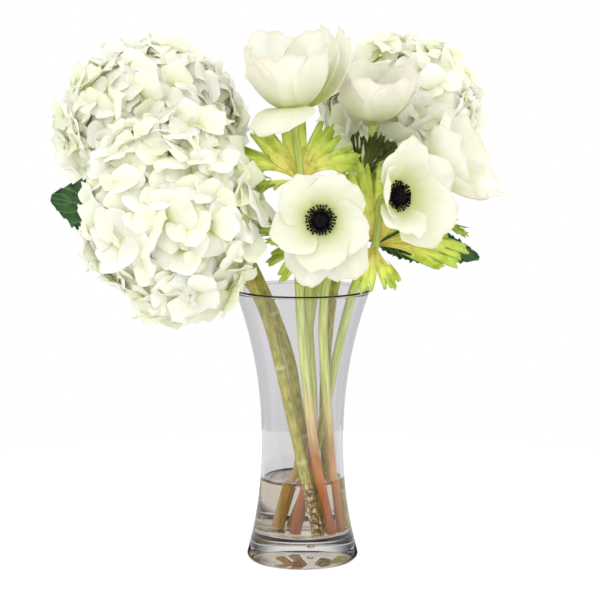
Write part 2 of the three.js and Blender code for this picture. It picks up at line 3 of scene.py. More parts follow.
import bpy
import numpy as np
from mathutils.bvhtree import BVHTree
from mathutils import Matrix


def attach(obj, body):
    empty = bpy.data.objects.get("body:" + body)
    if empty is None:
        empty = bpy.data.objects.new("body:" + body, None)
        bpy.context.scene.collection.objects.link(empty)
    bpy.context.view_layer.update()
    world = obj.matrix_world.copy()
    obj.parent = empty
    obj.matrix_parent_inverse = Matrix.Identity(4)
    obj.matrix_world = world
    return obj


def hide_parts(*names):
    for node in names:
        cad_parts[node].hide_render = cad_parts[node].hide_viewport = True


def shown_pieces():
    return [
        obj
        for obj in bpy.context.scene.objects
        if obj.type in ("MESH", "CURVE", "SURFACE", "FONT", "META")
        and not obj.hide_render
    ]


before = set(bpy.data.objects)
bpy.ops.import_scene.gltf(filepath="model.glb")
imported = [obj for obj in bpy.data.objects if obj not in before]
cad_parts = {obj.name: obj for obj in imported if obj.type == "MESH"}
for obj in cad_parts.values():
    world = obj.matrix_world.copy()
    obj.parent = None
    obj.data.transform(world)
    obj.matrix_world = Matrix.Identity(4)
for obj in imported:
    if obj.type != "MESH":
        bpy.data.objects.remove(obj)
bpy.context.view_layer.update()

# Looks of a cut-flower centrepiece. Sizes are in millimetres up to the point where a
# mesh is made. The route of every stem and the place of every petal, leaf and floret
# head are those of the solids that the pieces replace, on finer grids.

MM = 0.001

# ---------------- dimensions

VASE_HEIGHT, WAIST_HEIGHT, WAIST_RADIUS = 254.0, 112.0, 38.0
RIM_FLARE, FOOT_FLARE, FLARE_POWER = 25.0, 15.0, 2.12
WALL, FLOOR, SEAT_RADIUS = 3.2, 26.0, 48.0
WATER_LEVEL = 76.0
FOOT_ROUND, CORNER_ROUND, RIM_ROUND = 5.0, 5.0, WALL / 2
HOLLOW_RADIUS, HOLLOW_HEIGHT = 43.0, 8.0
BUBBLE_AT = (6.0, -14.0, 13.5)
SEGMENTS = 144
STAND = FLOOR + 0.3
WOODY_RADIUS, TENDER_RADIUS = 5.2, 4.2
STEM_NECK = 18.0
LEAF_ROOT, PETAL_ROOT = 1.5, 4.4
BLADE_THICK, SEPAL_THICK, TEETH = 0.7, 0.6, 17

# Heads: the shares of the radius that the core, the stem's socket and the florets reach,
# how far florets lean, the half angle of the bald patch, the steps that a floret moves
# inwards where something is in its way, and how deep its middle sits.
CORE_SHARE, SOCKET_SHARE = 0.62, 0.75
OUTER_DEPTHS, INNER_DEPTH, LUMPS = [0.93, 0.91, 0.88, 0.85], 0.81, 0.05
OUTER_LEAN, INNER_LEAN, BALD = 0.46, 0.25, math.radians(28)
DEEPER, SUNK = (0, 0.06, 0.12, 0.2), 3
FLORETS_ON_86_MM, FLORET_KINDS, STALK = 200, 10, 30.0
STEM_SEED, BLOOM_SEED, HEAD_SEED, FLORET_SEED = 40, 70, 100, 7

# The height up to which the bark is rough, and the share of red in an anemone's stem.
ROUGH_ENDS = {"hydrangea_front": 82.0, "hydrangea_left": 52.0}
REDNESS = dict(anemone_front=1.0, anemone_right=0.1, anemone_top=0.95, anemone_crown=0.6,
               anemone_side=0.0)

HYDRANGEAS = {
    "hydrangea_front": dict(
        centre=(-113, -50, 326), radii=(84, 76, 95), turn=0.3,
        stem=[(16, -26, 12), (-6, -24, 120), (-43, -24, 254)],
        nodes=[(96, 0.5), (184, 0.9)]),
    "hydrangea_left": dict(
        centre=(-143, 78, 396), radii=(91, 84, 86), turn=1.7,
        stem=[(22, 0, 12), (-1, -2, 120), (-12, -3, 190), (-36, -4, 254), (-70, 24, 314)],
        nodes=[(116, 0.9), (232, 0.8)]),
    "hydrangea_right": dict(
        centre=(95, 86, 408), radii=(76, 74, 74), turn=2.9,
        stem=[(32, 15, 12), (21, 18, 120), (30, 18, 254), (50, 38, 310)],
        nodes=[(60, 0.8), (172, 0.8)]),
}

# Petals: azimuth, length, width, rise at the root, rise at the tip.
# Whorl leaves: azimuth, length, half spread, rise at the root, rise at the tip.
ANEMONES = {
    "anemone_front": dict(
        base=(16, -84, 326), axis=(-0.03, -0.99, -0.05),
        petals=[(126, 44, 68, 24, 18), (54, 44, 68, 24, 18), (198, 42, 66, 24, 18),
                (342, 42, 66, 24, 18), (270, 42, 66, 24, 14), (300, 56, 62, 6, -6),
                (256, 55, 58, 6, -6)],
        stem=[(-8, -11, 12), (9, -14, 120), (5, -20, 254)],
        at=(12, -54, 306), up=(0.1, -0.5, 0.86),
        leaves=[(185, 56, 34, 24, -20), (226, 54, 40, -14, -60), (278, 44, 34, -30, -60)]),
    "anemone_right": dict(
        base=(80, -69, 344), axis=(0.55, -0.82, 0.14),
        petals=[(100, 54, 72, 24, 48), (26, 53, 74, 24, 20), (330, 55, 90, 24, 16),
                (262, 46, 62, 24, 62), (178, 46, 64, 26, 76)],
        stem=[(-10, 12, 12), (17, 8, 120), (46, -20, 254)],
        at=(65, -50, 299), up=(0.25, -0.3, 0.92),
        leaves=[(105, 84, 62, 82, 66), (4, 88, 48, 28, -14), (262, 56, 48, -10, -60),
                (172, 78, 26, 58, -24)]),
    "anemone_top": dict(
        base=(-8, -28, 416), axis=(-0.08, -0.12, 0.98),
        petals=[(258, 68, 90, 20, 100), (334, 72, 80, 20, 102), (46, 84, 82, 20, 104),
                (118, 84, 84, 20, 104), (190, 74, 80, 20, 102), (15, 94, 40, 4, 108),
                (244, 54, 82, 30, -60)],
        stem=[(27, -21, 12), (9, -28, 120), (-3, -33, 254)],
        at=(-2, -38, 355), up=(0, 0.02, 1),
        leaves=[(100, 72, 80, 54, 64), (350, 46, 40, 14, -10), (200, 44, 30, 10, -30)]),
    "anemone_crown": dict(
        base=(64, 2, 404), axis=(0.08, -0.1, 0.97),
        petals=[(256, 56, 88, 13, 98), (326, 60, 78, 15, 100), (34, 66, 78, 15, 100),
                (106, 68, 78, 15, 100), (186, 62, 78, 15, 100)],
        stem=[(33, -14, 12), (24, -15, 120), (20, -30, 254), (42, -20, 326)],
        at=(55, -2, 362), up=(0.2, 0.1, 0.97),
        leaves=[(305, 42, 24, 60, 80), (10, 42, 26, 44, 66), (215, 38, 20, 60, 76)]),
    "anemone_side": dict(
        base=(119, -9, 355), axis=(0.78, -0.18, 0.6),
        petals=[(88, 68, 84, 24, 74), (16, 62, 84, 16, 66), (304, 55, 80, 12, 58),
                (232, 62, 76, 22, 72), (160, 64, 76, 26, 78)],
        stem=[(-20, 3, 12), (2, 20, 120), (14, 8, 254), (62, -8, 316)],
        at=(88, -12, 331), up=(0.75, -0.1, 0.65),
        leaves=[(5, 72, 18, 32, 22), (60, 38, 28, 30, 44), (180, 34, 26, 34, 44)]),
}

LEAVES = {
    "hydrangea_leaf_left": dict(
        stalk=(-73, 27, 312), foot=(-98, 26, 304), tip=(-230, -6, 338), width=86,
        facing=(-0.2, -0.9, 0.3)),
    "hydrangea_leaf_right": dict(
        stalk=(46, 34, 298), foot=(70, 27, 294), tip=(164, 14, 280), width=44,
        facing=(0.1, -0.75, 0.65)),
}

# ---------------- mesh making


def unit(vectors):
    """Each vector divided by its own length."""
    vectors = np.asarray(vectors, float)
    return vectors / np.maximum(np.linalg.norm(vectors, axis=-1, keepdims=True), 1e-9)


def part(points, faces, uv, rim=None, tone=0.5, finish=0):
    """One shell as arrays: its points, its faces by their corner count, the pattern
    coordinates and the tone of each point, and which points lie on a thin edge."""
    count = len(points)
    return dict(
        points=points, faces=[np.asarray(f) for f in faces], uv=uv,
        rim=np.zeros(count, bool) if rim is None else rim,
        tone=np.broadcast_to(np.asarray(tone, float), (count,)),
        finish=[np.full(len(f), finish) for f in faces])


def joined(parts):
    """Several shells as one: their arrays end to end, with the corners renumbered."""
    starts = np.cumsum([0] + [len(p["points"]) for p in parts[:-1]])
    arrays = {key: np.concatenate([p[key] for p in parts])
              for key in ("points", "uv", "rim", "tone")}
    return dict(arrays, faces=[f + s for p, s in zip(parts, starts) for f in p["faces"]],
                finish=[k for p in parts for k in p["finish"]])


def make_piece(name, shape, materials, node):
    """A mesh object from a shape's arrays, with smooth faces that break at thin edges.
    It rides with the vase and stands for its solid."""
    mesh = bpy.data.meshes.new(name)
    corners = np.concatenate([f.ravel() for f in shape["faces"]]).astype(np.int32)
    sizes = np.concatenate([np.full(len(f), f.shape[1]) for f in shape["faces"]])
    starts = np.concatenate([[0], np.cumsum(sizes)[:-1]]).astype(np.int32)
    mesh.vertices.add(len(shape["points"]))
    mesh.vertices.foreach_set("co", (shape["points"] * MM).astype(np.float32).ravel())
    mesh.loops.add(len(corners))
    mesh.loops.foreach_set("vertex_index", corners)
    mesh.polygons.add(len(sizes))
    mesh.polygons.foreach_set("loop_start", starts)
    mesh.update(calc_edges=True)
    mesh.polygons.foreach_set("use_smooth", np.ones(len(sizes), bool))
    finish = np.concatenate(shape["finish"]).astype(np.int32)
    mesh.polygons.foreach_set("material_index", finish)
    layer = mesh.uv_layers.new(name="pattern")
    layer.data.foreach_set("uv", shape["uv"][corners].astype(np.float32).ravel())
    tone = mesh.attributes.new("tone", "FLOAT", "POINT")
    tone.data.foreach_set("value", shape["tone"].astype(np.float32))
    if shape["rim"].any():
        ends = np.empty(len(mesh.edges) * 2, np.int32)
        mesh.edges.foreach_get("vertices", ends)
        mesh.edges.foreach_set("use_edge_sharp", shape["rim"][ends.reshape(-1, 2)].all(1))
    for material in materials:
        mesh.materials.append(material)
    piece = bpy.data.objects.new(name, mesh)
    bpy.context.scene.collection.objects.link(piece)
    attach(piece, "root")
    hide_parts(node)


def cells(rows, columns, wrap=False):
    """The quads of a grid of points, numbered row by row. Wrapped, the last row joins
    the first."""
    numbers = np.arange(rows * columns).reshape(rows, columns)
    if wrap:
        numbers = np.vstack([numbers, numbers[:1]])
    near, far = numbers[:-1], numbers[1:]
    return np.stack([near[:, :-1], far[:, :-1], far[:, 1:], near[:, 1:]], -1).reshape(-1, 4)


def sheet(surface, across, along, thick, tone=0.5, finish=0, back=None):
    """A thin leaf-like shell: surface(u, v) for u in -1..1 and v in 0..1, moved half the
    thickness along its normal to each side. Both sides meet in one thin edge. The lower
    side may have a finish of its own."""
    u, v = np.meshgrid(np.linspace(-1, 1, across + 1), np.linspace(0, 1, along + 1),
                       indexing="ij")
    middle = surface(u, v)
    normal = unit(np.cross(np.gradient(middle, axis=0), np.gradient(middle, axis=1)))
    inner = np.zeros(u.shape, bool)
    inner[1:-1, 1:-1] = True
    shift = normal * (inner * thick / 2)[..., None]
    upper = (middle + shift).reshape(-1, 3)
    lower = (middle - shift)[inner]
    numbers = np.arange(u.size).reshape(u.shape)
    under = numbers.copy()
    under[inner] = u.size + np.arange(inner.sum())
    top = cells(*u.shape)
    bottom = under.ravel()[top][:, ::-1]
    uv = np.stack([(u + 1) / 2, v], -1)
    shell = part(
        np.concatenate([upper, lower]), [np.concatenate([top, bottom])],
        np.concatenate([uv.reshape(-1, 2), uv[inner]]),
        np.concatenate([~inner.ravel(), np.zeros(inner.sum(), bool)]), tone, finish)
    if back is not None:
        shell["finish"][0][len(top):] = back
    return shell


def turns(count):
    """Evenly spread angles that go once round."""
    return np.arange(count) / count * 2 * math.pi


def around(azimuth, out, up):
    """A point at an azimuth round an axis, so far out and up."""
    x, y = out * np.cos(azimuth), out * np.sin(azimuth)
    return np.stack(np.broadcast_arrays(x, y, up), -1)


def closed(grid, low, high, uv=None, tone=0.5, finish=0, plan=100):
    """A shell from a grid of points whose rows go once round, and run from end to end. A
    fan round a point closes each end. Where no pattern is given, it is the view from
    above, divided by the plan's size."""
    sides, steps = grid.shape[:2]
    points = np.concatenate([grid.reshape(-1, 3), [low, high]])
    first = np.arange(sides) * steps
    last = first + steps - 1
    hub = np.full(sides, sides * steps)
    fans = np.concatenate([np.stack([hub, np.roll(first, -1), first], -1),
                           np.stack([hub + 1, last, np.roll(last, -1)], -1)])
    return part(points, [cells(sides, steps, True), fans],
                points[:, :2] / plan if uv is None else uv, None, tone, finish)


def rings(side, other, sides):
    """For each pair of directions, the directions that go from one through the other and
    once round."""
    angle = turns(sides)[:, None]
    return side[:, None] * np.cos(angle) + other[:, None] * np.sin(angle)


def frame_at(axis):
    """Three directions as rows: the third is the axis, and the first lies as near to the
    right as it can."""
    z = unit(axis)
    x = unit(np.array([1.0, 0, 0]) - z * z[..., :1])
    return np.stack([x, np.cross(z, x), z], -2)


def tube(path, radius, sides, tone=0.5, finish=0):
    """A round bar along a path: ring j stands square to the path at its point j, with
    radius[j, k] at corner k. The pattern runs round it and along it, in decimetres."""
    path = np.asarray(path, float)
    axes = frame_at(np.gradient(path, axis=0))
    radius = np.asarray(radius, float).reshape(len(path), -1)
    grid = path[:, None] + rings(axes[:, 0], axes[:, 1], sides) * radius[..., None]
    length = np.cumsum(np.linalg.norm(np.diff(path, axis=0), axis=1)) / 100
    length = np.concatenate([[0], length])
    uv = np.stack(np.broadcast_arrays((np.arange(sides) / sides)[:, None], length), -1)
    uv = np.concatenate([uv.reshape(-1, 2), [[0.5, 0], [0.5, length[-1]]]])
    return closed(grid.transpose(1, 0, 2), path[0], path[-1], uv, tone, finish)


def turned(profile, segments, finish=0):
    """A solid of revolution round the vertical axis, from a profile that starts and ends
    on the axis and runs with the solid at its left."""
    out, height = np.asarray(profile, float).T
    grid = around(turns(segments)[:, None], out[1:-1], height[1:-1])
    return closed(grid, (0, 0, height[0]), (0, 0, height[-1]), finish=finish)


def placed(shape, origin, axes):
    """The same shape with its own directions turned to the given ones and moved."""
    return dict(shape, points=shape["points"] @ axes + np.asarray(origin, float))


def smooth_path(points, step=3.0):
    """The smooth curve through points whose speed follows the square root of their
    spacing, sampled about every few millimetres."""
    points = np.asarray(points, float)
    points = np.vstack([2 * points[0] - points[1], points, 2 * points[-1] - points[-2]])
    pieces = []
    for p0, p1, p2, p3 in zip(points, points[1:], points[2:], points[3:]):
        d0, d1, d2 = (np.sqrt(np.linalg.norm(b - a))
                      for a, b in ((p0, p1), (p1, p2), (p2, p3)))
        t1 = ((p1 - p0) / d0 - (p2 - p0) / (d0 + d1) + (p2 - p1) / d1) * d1
        t2 = ((p2 - p1) / d1 - (p3 - p1) / (d1 + d2) + (p3 - p2) / d2) * d1
        t = np.linspace(0, 1, max(3, int(np.linalg.norm(p2 - p1) / step)))[:-1, None]
        pieces.append(p1 + t1 * t + (3 * (p2 - p1) - 2 * t1 - t2) * t ** 2
                      + (2 * (p1 - p2) + t1 + t2) * t ** 3)
    return np.vstack(pieces + [points[-2:-1]])


def standing(path):
    """The path's part above the glass floor, starting exactly on it."""
    above = path[path[:, 2] > STAND + 0.5]
    below = path[path[:, 2] <= STAND + 0.5][-1]
    share = (STAND - below[2]) / (above[0][2] - below[2])
    return np.vstack([below + (above[0] - below) * share, above])


# ---------------- materials


def linear(code):
    """A linear colour from an sRGB hex value."""
    c = np.array([int(code[i:i + 2], 16) for i in (1, 3, 5)]) / 255
    c = np.where(c <= 0.04045, c / 12.92, ((c + 0.055) / 1.055) ** 2.4)
    return (*c.tolist(), 1.0)


def feed(tree, node, inputs):
    """Links each named input of a node to another node's output, or gives it a value or a
    hex colour."""
    for key, value in inputs.items():
        if isinstance(value, bpy.types.NodeSocket):
            tree.links.new(value, node.inputs[key])
        else:
            node.inputs[key].default_value = (
                linear(value) if isinstance(value, str) else value)
    return node


def add_node(tree, kind, inputs=None, **settings):
    """A new shader node with its own settings and inputs."""
    node = tree.nodes.new("ShaderNode" + kind)
    for key, value in settings.items():
        setattr(node, key, value)
    return feed(tree, node, inputs or {})


def place(tree, kind="Object"):
    """Where a point is: in the part's own frame and in metres, or as another kind says."""
    return add_node(tree, "TexCoord").outputs[kind]


def pattern(tree):
    """A sheet's own coordinates, across and along, or a bar's, round and along."""
    return add_node(tree, "UVMap", uv_map="pattern").outputs["UV"]


def tone_of(tree):
    """The number that each point of a piece carries."""
    return add_node(tree, "Attribute", attribute_name="tone").outputs["Fac"]


def split(tree, vector):
    """The three parts of a vector."""
    return tuple(add_node(tree, "SeparateXYZ", {"Vector": vector}).outputs)


def maths(tree, operation, *values, clamp=False):
    """One step of arithmetic on sockets or numbers."""
    return add_node(tree, "Math", dict(enumerate(values)), operation=operation,
                    use_clamp=clamp).outputs[0]


def span(tree, value, start, end):
    """How far a value is from a start to an end, as a share in 0..1."""
    return add_node(tree, "MapRange",
                    {"Value": value, "From Min": start, "From Max": end}).outputs[0]


def texture(tree, kind, vector, scale, **inputs):
    """Soft noise, or the distance to the nearest grain, over a vector. Three scales
    stretch the vector first."""
    if isinstance(scale, tuple):
        vector = add_node(tree, "Mapping", {"Vector": vector, "Scale": scale}).outputs[0]
        scale = 1.0
    node = add_node(tree, "Tex" + kind, {"Vector": vector, "Scale": scale, **inputs})
    return node.outputs["Distance" if kind == "Voronoi" else "Fac"]


def ramp(tree, factor, stops):
    """Colours along a factor: pairs of a place in 0..1 and a hex colour."""
    node = add_node(tree, "ValToRGB", {"Fac": factor})
    elements = node.color_ramp.elements
    while len(elements) < len(stops):
        elements.new(0.5)
    for element, (position, code) in zip(elements, stops):
        element.position = position
        element.color = linear(code)
    return node.outputs[0]


def mixed(tree, share, a, b, blend="MIX"):
    """Two colours mixed by a share, each a socket or a hex colour."""
    node = add_node(tree, "Mix", {0: share, 6: a, 7: b}, data_type="RGBA",
                    blend_type=blend)
    return node.outputs[2]


def tinted(tree, colour, tint):
    """One colour multiplied by another."""
    return mixed(tree, 1.0, colour, tint, "MULTIPLY")


def blended(tree, share, a, b):
    """Two surfaces or lights mixed by a share."""
    return add_node(tree, "MixShader", {0: share, 1: a, 2: b}).outputs[0]


def new_material(name):
    """An empty material with one surface shader joined to its output."""
    material = bpy.data.materials.new(name)
    material.use_nodes = True
    tree = material.node_tree
    tree.nodes.clear()
    shader = add_node(tree, "BsdfPrincipled")
    output = add_node(tree, "OutputMaterial", {"Surface": shader.outputs["BSDF"]})
    return material, tree, shader, output


def finished(made, paint, relief, glow=0.0, **values):
    """A material once it has its colour, its relief (a height pattern, its full depth in
    metres and its strength), the share of light that comes through a thin blade in the
    same colour, and its other values, named with underscores for spaces."""
    material, tree, shader, output = made
    height, depth, strength = relief
    bump = add_node(tree, "Bump",
                    {"Height": height, "Distance": depth, "Strength": strength})
    feed(tree, shader, {"Base Color": paint, "Normal": bump.outputs[0]})
    feed(tree, shader, {key.replace("_", " "): value for key, value in values.items()})
    if glow:
        behind = add_node(tree, "BsdfTranslucent", {"Color": paint}).outputs[0]
        feed(tree, output, {"Surface": blended(tree, glow, shader.outputs[0], behind)})
    return material


def petal_white(name, root_to_tip, veins_across):
    """Living white petal tissue: thin, slightly waxy and lit through from behind. Fine
    veins fan out from the root; a petal has one about every millimetre and a half."""
    made = new_material(name)
    tree = made[1]
    along_petal = split(tree, pattern(tree))[1]
    veins = texture(tree, "Noise", pattern(tree), (veins_across, 1.6, 1.0),
                    Detail=3.0, Roughness=0.55)
    # Cream for a low tone: random tone on most petals, painted shade on a head's inner
    # layer.
    tone_and_painted_shade = mixed(tree, tone_of(tree), "#f8fae6", "#ffffff")
    colour = tinted(tree, ramp(tree, along_petal, root_to_tip), tone_and_painted_shade)
    streak = ramp(tree, veins, [(0.3, "#f7f6ee"), (0.62, "#ffffff")])
    paint = mixed(tree, 0.4, colour, tinted(tree, colour, streak))
    return finished(made, paint, (veins, 0.0009, 0.5), 0.6, Roughness=0.6, IOR=1.42,
                    Specular_IOR_Level=0.2)


def green_tissue(name, low, high, roughness, grain):
    """Smooth green plant tissue: two greens mixed by a soft noise with spots of about the
    grain size in metres."""
    made = new_material(name)
    tree = made[1]
    noise = texture(tree, "Noise", place(tree), 1 / grain, Detail=3.0)
    return finished(made, ramp(tree, noise, [(0.35, low), (0.65, high)]),
                    (noise, 0.0004, 0.5), Roughness=roughness, IOR=1.42,
                    Subsurface_Weight=0.15, Subsurface_Radius=(0.8, 1.0, 0.3),
                    Subsurface_Scale=0.002)


def tender_stem():
    """Anemone stem: soft, ribbed and downy. Green at the top, it turns peach and then
    brick orange towards the cut end, the more so the higher its tone. Ribs stand about
    1.5 mm apart."""
    made = new_material("anemone_stem")
    tree = made[1]
    wander = texture(tree, "Noise", place(tree), 14.0)
    height = maths(tree, "ADD", split(tree, place(tree))[2],
                   maths(tree, "MULTIPLY_ADD", wander, 0.05, -0.025))
    share = span(tree, height, 0.02, 0.32)
    red = ramp(tree, share,
               [(0.0, "#8c4a20"), (0.15, "#b06434"), (0.26, "#cb956c"), (0.38, "#d0b488"),
                (0.52, "#cdd489"), (0.75, "#c9d284"), (1.0, "#b7c466")])
    green = ramp(tree, share,
                 [(0.0, "#96763a"), (0.16, "#ab8a48"), (0.3, "#b0a852"), (0.6, "#bfc974"),
                  (1.0, "#b0c060")])
    streaks = texture(tree, "Noise", pattern(tree), (14.0, 3.0, 1.0), Detail=4.0)
    pale = ramp(tree, streaks, [(0.32, "#ccc9a6"), (0.6, "#ffffff")])
    paint = tinted(tree, mixed(tree, tone_of(tree), green, red), pale)
    return finished(made, paint, (streaks, 0.0006, 0.6), Roughness=0.42, IOR=1.42,
                    Subsurface_Weight=0.2, Subsurface_Radius=(1.0, 0.8, 0.4),
                    Subsurface_Scale=0.003, Sheen_Weight=0.2, Sheen_Roughness=0.5)


def woody_stem():
    """Hydrangea stem: young smooth olive bark with pale lenticels 1 to 2 mm long, rough
    flaking grey-brown bark where the tone is high, near the cut end, and a pale ring where
    the tone is below zero, at a leaf joint: paler bark there, and partly a painted
    highlight."""
    made = new_material("hydrangea_stem")
    tree = made[1]
    bark, tone = pattern(tree), tone_of(tree)
    grain = texture(tree, "Noise", bark, (9.0, 9.0, 1.0), Detail=5.0, Roughness=0.65)
    spots = texture(tree, "Voronoi", bark, (11.0, 16.0, 1.0))
    flakes = texture(tree, "Noise", bark, (9.0, 26.0, 1.0), Detail=6.0, Roughness=0.7)
    young = ramp(tree, grain, [(0.3, "#746c22"), (0.5, "#9f9842"), (0.72, "#beb56a")])
    lenticels = ramp(tree, spots, [(0.08, "#8a8a8a"), (0.17, "#000000")])
    spotted = mixed(tree, lenticels, young, "#d6cfa2")
    old = ramp(tree, flakes,
               [(0.36, "#241a10"), (0.46, "#63502c"), (0.54, "#a8925a"), (0.64, "#e4e0cc")])
    # The pale ring at a joint is partly the joint's own paler bark and partly a painted
    # highlight.
    joint = maths(tree, "MULTIPLY", tone, -1.0, clamp=True)
    ringed = mixed(tree, joint, spotted, "#dfe2bc")
    roughness = maths(tree, "MULTIPLY_ADD", tone, 0.85, 0.15)
    relief = maths(tree, "MULTIPLY", maths(tree, "ADD", grain, flakes), roughness)
    return finished(made, mixed(tree, tone, ringed, old), (relief, 0.003, 0.8),
                    Roughness=0.5, IOR=1.45)


def whorl_leaf_green():
    """Anemone whorl leaf: yellow and ribbed at its sheathing base, lime green in its
    lobes, with pale veins that fan out every 2 to 3 mm. A high tone paints the leaf in dark
    olive, as painted shade."""
    made = new_material("anemone_leaf")
    tree = made[1]
    along_leaf = split(tree, pattern(tree))[1]
    body = ramp(tree, along_leaf,
                [(0.0, "#f0e284"), (0.36, "#faf49a"), (0.6, "#eef488"), (0.84, "#d2e26c"),
                 (1.0, "#b0c660")])
    # Painted shade: dark olive greens for a whorl that stands in shadow.
    painted_shade_leaf = ramp(tree, along_leaf, [(0.0, "#8a8450"), (0.5, "#666d3c"), (1.0, "#55622f")])
    veins = texture(tree, "Noise", pattern(tree), (22.0, 2.0, 1.0), Detail=4.0)
    streak = ramp(tree, veins, [(0.34, "#dfe2b0"), (0.6, "#ffffff")])
    patches = texture(tree, "Noise", place(tree), 95.0, Detail=4.0)
    patchy = ramp(tree, patches, [(0.3, "#dadeb8"), (0.5, "#ffffff")])
    veined = tinted(tree, mixed(tree, tone_of(tree), body, painted_shade_leaf), streak)
    return finished(made, tinted(tree, veined, patchy), (veins, 0.0012, 0.7), 0.35,
                    Roughness=0.45, IOR=1.42, Specular_IOR_Level=0.35)


# The side veins of a hydrangea leaf: how many radians of their wave fit on its length, and
# how far towards the tip they slant on their way to the edge, as a share of the length.
VEIN_TURNS, VEIN_SLANT = 66.0, 0.21


def hydrangea_leaf_green():
    """Hydrangea leaf: dark, leathery and slightly glossy. Side veins leave the rib every
    12 mm at a slant, and the blade swells a little between them."""
    made = new_material("hydrangea_leaf")
    tree = made[1]
    across, along, _ = split(tree, pattern(tree))
    away = maths(tree, "ABSOLUTE", maths(tree, "SUBTRACT", across, 0.5))
    slant = maths(tree, "MULTIPLY_ADD", away, -2 * VEIN_SLANT, along)
    wave = maths(tree, "COSINE", maths(tree, "MULTIPLY", slant, VEIN_TURNS))
    rib = span(tree, away, 0.022, 0.008)
    vein = maths(tree, "MAXIMUM", span(tree, wave, 0.86, 1.0), rib)
    mottle = texture(tree, "Noise", place(tree), 160.0, Detail=3.0)
    blade = ramp(tree, mottle, [(0.3, "#21401f"), (0.7, "#3a6230")])
    relief = maths(tree, "MULTIPLY_ADD", vein, -0.8, mottle)
    return finished(made, mixed(tree, vein, blade, "#547544"),
                    (relief, 0.0008, 0.6), Roughness=0.42, IOR=1.45)


def centre_black():
    """Anemone pistils and anthers: nearly black with a violet cast, velvety from close
    packed grains about 0.6 mm across."""
    made = new_material("anemone_centre")
    tree = made[1]
    grains = texture(tree, "Voronoi", place(tree), 1600.0)
    return finished(made, ramp(tree, grains, [(0.1, "#241f2b"), (0.6, "#070509")]),
                    (grains, 0.0005, 0.8), Roughness=0.85, IOR=1.4, Specular_IOR_Level=0.25)


def clear(name, colour, ior, shade):
    """A clear smooth body that bends light, with only a breath of colour of its own. Lamps
    and the light of the room pass straight through it and light what stands inside."""
    material, tree, shader, output = new_material(name)
    feed(tree, shader, {"Base Color": colour, "Roughness": 0.0, "IOR": ior,
                        "Transmission Weight": 1.0})
    ray = add_node(tree, "LightPath").outputs
    soft = maths(tree, "MAXIMUM", ray["Is Shadow Ray"], ray["Is Diffuse Ray"])
    passing = add_node(tree, "BsdfTransparent", {"Color": shade}).outputs[0]
    feed(tree, output, {"Surface": blended(tree, soft, shader.outputs[0], passing)})
    return material


hydrangea_sepal = petal_white(
    "hydrangea_sepal", [(0.0, "#dfe598"), (0.3, "#fcfcf4"), (0.8, "#fffffe")], 9.0)
anemone_petal = petal_white(
    "anemone_petal", [(0.0, "#c3cf6c"), (0.2, "#dfe5a6"), (0.48, "#f2f4e0"),
                      (0.8, "#f9faf6"), (0.95, "#f8f8f3"), (1.0, "#f2eee6")], 16.0)
anemone_petal_back = petal_white(
    "anemone_petal_back", [(0.0, "#e9ecc2"), (0.25, "#f3f3e4"), (0.7, "#f7f5ef"),
                           (0.94, "#f5f2ec"), (1.0, "#ece4da")], 16.0)
branching_green = green_tissue("hydrangea_branching", "#dddf9e", "#ecebc4", 0.6, 0.006)
receptacle_green = green_tissue("anemone_receptacle", "#a9b85a", "#cbd382", 0.5, 0.004)
blown_glass = clear("blown_glass", "#f5f5f7", 1.5, "#fafafb")
still_water = clear("still_water", "#f7eddb", 1.333, "#fdfbf4")
anemone_stem_green = tender_stem()
hydrangea_bark = woody_stem()
anemone_leaf_green = whorl_leaf_green()
hydrangea_leaf_dark = hydrangea_leaf_green()
anemone_black = centre_black()

# ---------------- vase and water


def vase_radius(z):
    """The outer radius at a height: two smooth flares that leave the waist."""
    z = np.asarray(z, float)
    above = np.clip((z - WAIST_HEIGHT) / (VASE_HEIGHT - WAIST_HEIGHT), 0, 1)
    below = np.clip(1 - z / WAIST_HEIGHT, 0, 1)
    return (WAIST_RADIUS + RIM_FLARE * above ** FLARE_POWER
            + FOOT_FLARE * below ** FLARE_POWER)


def arc(centre, radii, start, end, count):
    """Points of an elliptic arc between two angles in degrees."""
    angle = np.radians(np.linspace(start, end, count))
    return np.stack([centre[0] + radii[0] * np.cos(angle),
                     centre[1] + radii[1] * np.sin(angle)], -1)


def vase_shape():
    """The wall at its even thickness, a round rim, and a thick foot whose floor meets
    the wall in a small round. The foot stands on its edge, over a shallow hollow whose
    height falls with the square of the radius, and has one flat bubble inside."""
    outside = np.arange(6.0, VASE_HEIGHT - RIM_ROUND, 2.0)
    inside = np.arange(FLOOR + 6.0, VASE_HEIGHT - RIM_ROUND, 2.0)[::-1]
    rim_radius = float(vase_radius(VASE_HEIGHT)) - RIM_ROUND
    corner = float(vase_radius(FLOOR)) - WALL
    foot = float(vase_radius(FOOT_ROUND))
    under = np.linspace(0, 1, 12)
    profile = np.vstack([
        np.stack([HOLLOW_RADIUS * under, HOLLOW_HEIGHT * (1 - under ** 2)], -1),
        [[SEAT_RADIUS - 2, 0]],
        arc((SEAT_RADIUS, FOOT_ROUND), (foot - SEAT_RADIUS, FOOT_ROUND), -80, 0, 7),
        np.stack([vase_radius(outside), outside], -1),
        arc((rim_radius, VASE_HEIGHT - RIM_ROUND), (RIM_ROUND, RIM_ROUND), 0, 180, 11),
        np.stack([vase_radius(inside) - WALL, inside], -1),
        arc((corner - CORNER_ROUND, FLOOR + CORNER_ROUND), (CORNER_ROUND, CORNER_ROUND),
            0, -90, 8),
        [[corner * k, FLOOR] for k in (0.8, 0.5, 0.2, 0)]])
    bubble = turned([(0, 1.6), (1.6, 1.4), (2.7, 0.8), (3.2, 0), (2.7, -0.8), (1.6, -1.4),
                     (0, -1.6)], 20)
    return joined([turned(profile, SEGMENTS), placed(bubble, BUBBLE_AT, np.eye(3))])


